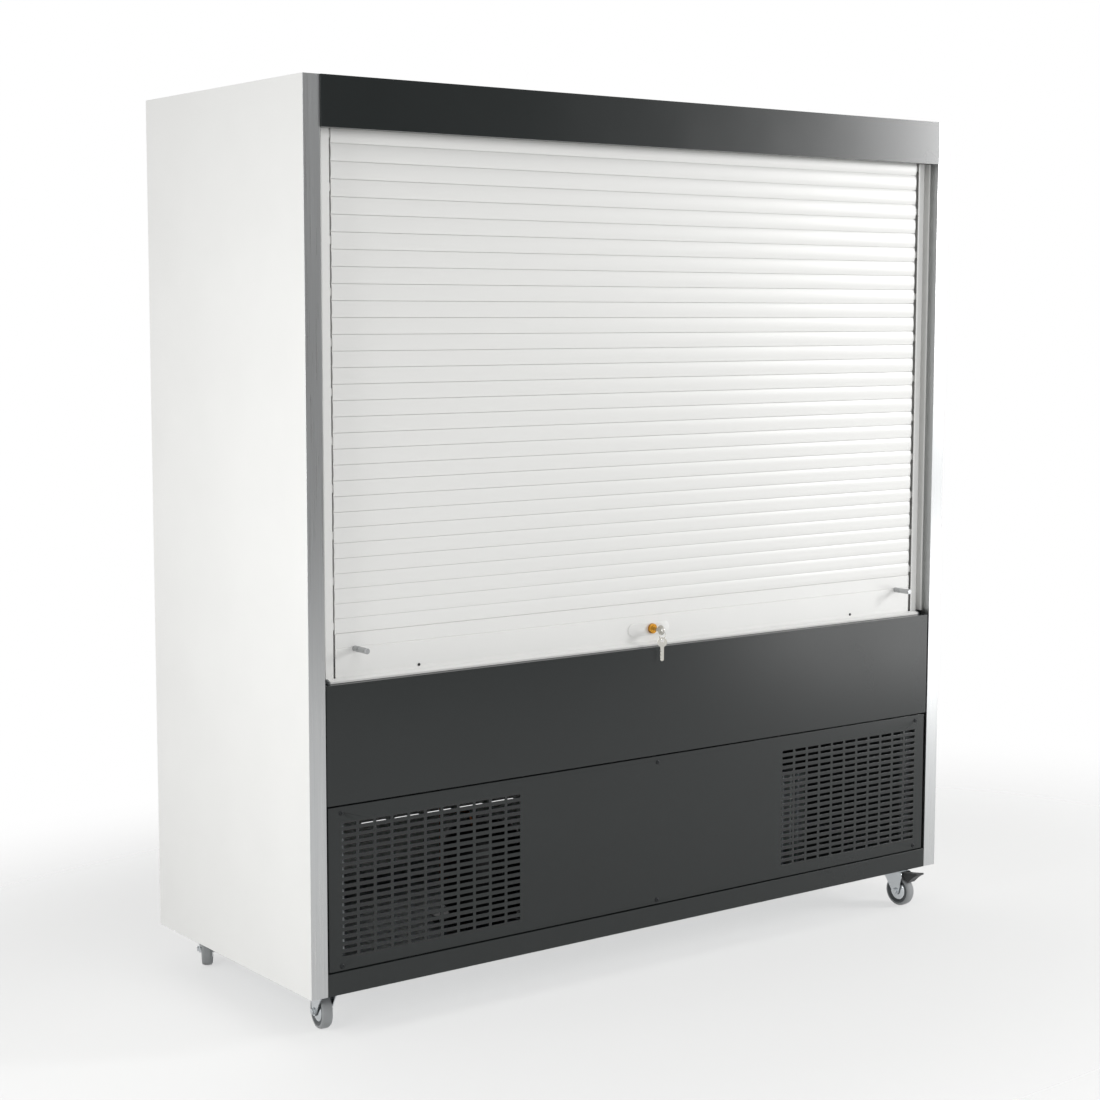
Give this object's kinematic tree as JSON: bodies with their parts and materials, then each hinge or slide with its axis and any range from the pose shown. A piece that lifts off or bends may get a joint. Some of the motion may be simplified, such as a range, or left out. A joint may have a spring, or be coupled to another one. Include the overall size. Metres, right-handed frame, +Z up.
{
  "type": "multideck display fridge",
  "caption": "Wide upright multideck display fridge on castors with a lockable white roller shutter, dark slotted lower panels, white sides, shelves and a chilled deck inside.",
  "frame": {"origin": "on the floor, under the middle of the overall box", "axes": "+X to the right across the front, +Y to the rear, +Z up"},
  "size_m": [1.8, 0.6944, 1.928],
  "materials": {
    "white_panel": "smooth semi-gloss white powder coat",
    "stainless": "vertically brushed stainless sheet",
    "foam": "rigid foam",
    "dark_panel": "satin dark grey",
    "pale_panel": "smooth pale grey powder coat",
    "galvanised": "galvanised sheet",
    "charcoal_panel": "satin charcoal powder coat",
    "dark_screw": "black screw heads",
    "black_plastic": "moulded black plastic",
    "diffuser": "opal diffuser",
    "coil_aluminium": "bare fins",
    "black_iron": "black enamel",
    "grey_plastic": "moulded grey plastic",
    "copper": "copper tube",
    "slat_white": "white stoved paint on aluminium",
    "peg_metal": "turned, satin anodised",
    "peg_white": "moulded white plastic",
    "brass": "turned brass",
    "key_steel": "nickel-plated",
    "zinc": "bright zinc plating",
    "wheel_grey": "grey elastic tread",
    "pedal_black": "moulded black plastic"
  },
  "bodies": {
    "cabinet": {"side_panel_left": "white_panel", "side_panel_right": "white_panel", "side_trim_left": "stainless", "side_trim_right": "stainless", "rear_panel": "white_panel", "roof_panel": "white_panel", "foam_insulation": "foam", "inner_liner": "dark_panel", "duct_panel": "pale_panel", "base_frame": "galvanised", "canopy_panel": "charcoal_panel", "lower_front_panel": "charcoal_panel", "grille_panel": "charcoal_panel", "plinth_panel": "charcoal_panel", "panel_screws": "dark_screw", "well_tank": "galvanised", "deck_tray": "pale_panel", "shelf_uprights": "pale_panel", "shelf_lower": "pale_panel", "shelf_middle": "pale_panel", "shelf_upper": "pale_panel", "shelf_brackets": "pale_panel", "air_outlet": "black_plastic", "light_tube": "diffuser", "evaporator": "coil_aluminium", "evaporator_fan_plate": "galvanised", "compressor": "black_iron", "condenser": "coil_aluminium", "condenser_shroud": "galvanised", "drip_tray": "black_plastic", "electrical_box": "grey_plastic", "refrigerant_pipes": "copper", "guide_rail_left": "slat_white", "guide_rail_right": "slat_white", "slat_curtain": "slat_white", "castor_plates": "zinc"},
    "shutter": {"bottom_rail": "slat_white", "pull_pegs": "peg_metal", "lock_escutcheon": "peg_white", "lock_cylinder": "brass"},
    "barrel": {"shutter_barrel": "galvanised"},
    "key": {"lock_plug": "brass", "lock_key": "key_steel"},
    "key_ring": {"key_ring": "key_steel"},
    "spare_key": {"spare_key": "key_steel"},
    "lock_bolt_left": {"lock_bolt_left": "galvanised"},
    "lock_bolt_right": {"lock_bolt_right": "galvanised"},
    "evaporator_fan_left": {"evaporator_fan_left": "black_plastic"},
    "evaporator_fan_right": {"evaporator_fan_right": "black_plastic"},
    "condenser_fan": {"condenser_fan": "black_plastic"},
    "castor_front_left": {"castor_fork_front_left": "zinc"},
    "castor_wheel_front_left": {"castor_wheel_front_left": "wheel_grey"},
    "castor_front_right": {"castor_fork_front_right": "zinc"},
    "castor_wheel_front_right": {"castor_wheel_front_right": "wheel_grey"},
    "castor_rear_left": {"castor_fork_rear_left": "zinc"},
    "castor_wheel_rear_left": {"castor_wheel_rear_left": "wheel_grey"},
    "castor_rear_right": {"castor_fork_rear_right": "zinc"},
    "castor_wheel_rear_right": {"castor_wheel_rear_right": "wheel_grey"},
    "brake_pedal_front_left": {"brake_pedal_front_left": "pedal_black"},
    "brake_pedal_front_right": {"brake_pedal_front_right": "pedal_black"}
  },
  "joints": [
    {"name": "shutter_lift", "type": "slide", "parent": "cabinet", "child": "shutter", "axis": [0, 0, 1], "range_m": [0, 1.015], "deforming": ["slat_curtain"]},
    {"name": "barrel_turn", "type": "hinge", "parent": "cabinet", "child": "barrel", "pos_m": [0, -0.228, 1.868], "axis": [1, 0, 0], "range_deg": [-1470, 0]},
    {"name": "key_turn", "type": "hinge", "parent": "shutter", "child": "key", "pos_m": [0, -0.3015, 0.772], "axis": [0, 1, 0], "range_deg": [0, 90]},
    {"name": "bolt_left", "type": "slide", "parent": "shutter", "child": "lock_bolt_left", "axis": [-1, 0, 0], "range_m": [0, 0.022]},
    {"name": "bolt_right", "type": "slide", "parent": "shutter", "child": "lock_bolt_right", "axis": [1, 0, 0], "range_m": [0, 0.022]},
    {"name": "ring_hang", "type": "hinge", "parent": "key", "child": "key_ring", "pos_m": [0, -0.331, 0.7648], "axis": [0, 1, 0], "range_deg": [-90, 0]},
    {"name": "spare_key_swing", "type": "hinge", "parent": "key_ring", "child": "spare_key", "pos_m": [0, -0.331, 0.7606], "axis": [0, 1, 0], "range_deg": [-30, 30]},
    {"name": "evaporator_fan_left_spin", "type": "hinge", "parent": "cabinet", "child": "evaporator_fan_left", "pos_m": [-0.4, -0.101, 0.60325], "axis": [0, 1, 0], "continuous": true},
    {"name": "evaporator_fan_right_spin", "type": "hinge", "parent": "cabinet", "child": "evaporator_fan_right", "pos_m": [0.4, -0.101, 0.60325], "axis": [0, 1, 0], "continuous": true},
    {"name": "condenser_fan_spin", "type": "hinge", "parent": "cabinet", "child": "condenser_fan", "pos_m": [0.3, -0.174, 0.237], "axis": [0, 1, 0], "continuous": true},
    {"name": "castor_swivel_front_left", "type": "hinge", "parent": "cabinet", "child": "castor_front_left", "pos_m": [-0.822, -0.251, 0.09], "axis": [0, 0, 1], "continuous": true},
    {"name": "castor_roll_front_left", "type": "hinge", "parent": "castor_front_left", "child": "castor_wheel_front_left", "pos_m": [-0.81715, -0.22038, 0.0375], "axis": [-0.9877, 0.1564, 0], "continuous": true},
    {"name": "brake_front_left", "type": "hinge", "parent": "castor_front_left", "child": "brake_pedal_front_left", "pos_m": [-0.8148, -0.20557, 0.082], "axis": [-0.9877, 0.1564, 0], "range_deg": [0, 10]},
    {"name": "castor_swivel_front_right", "type": "hinge", "parent": "cabinet", "child": "castor_front_right", "pos_m": [0.822, -0.251, 0.09], "axis": [0, 0, 1], "continuous": true},
    {"name": "castor_roll_front_right", "type": "hinge", "parent": "castor_front_right", "child": "castor_wheel_front_right", "pos_m": [0.82308, -0.28198, 0.0375], "axis": [0.9994, 0.0349, 0], "continuous": true},
    {"name": "brake_front_right", "type": "hinge", "parent": "castor_front_right", "child": "brake_pedal_front_right", "pos_m": [0.82361, -0.29697, 0.082], "axis": [0.9994, 0.0349, 0], "range_deg": [0, 10]},
    {"name": "castor_swivel_rear_left", "type": "hinge", "parent": "cabinet", "child": "castor_rear_left", "pos_m": [-0.822, 0.275, 0.09], "axis": [0, 0, 1], "continuous": true},
    {"name": "castor_roll_rear_left", "type": "hinge", "parent": "castor_rear_left", "child": "castor_wheel_rear_left", "pos_m": [-0.8065, 0.30185, 0.0375], "axis": [-0.866, 0.5, 0], "continuous": true},
    {"name": "castor_swivel_rear_right", "type": "hinge", "parent": "cabinet", "child": "castor_rear_right", "pos_m": [0.822, 0.275, 0.09], "axis": [0, 0, 1], "continuous": true},
    {"name": "castor_roll_rear_right", "type": "hinge", "parent": "castor_rear_right", "child": "castor_wheel_rear_right", "pos_m": [0.83002, 0.30494, 0.0375], "axis": [-0.9659, 0.2588, 0], "continuous": true}
  ],
  "couplings": [
    {"joint": "barrel_turn", "follows": "shutter_lift", "rad_per_m": -25},
    {"joint": "bolt_left", "follows": "bolt_right", "ratio": 1},
    {"joint": "key_turn", "follows": "bolt_right", "rad_per_m": 71.39},
    {"joint": "ring_hang", "follows": "bolt_right", "rad_per_m": -71.39}
  ]
}
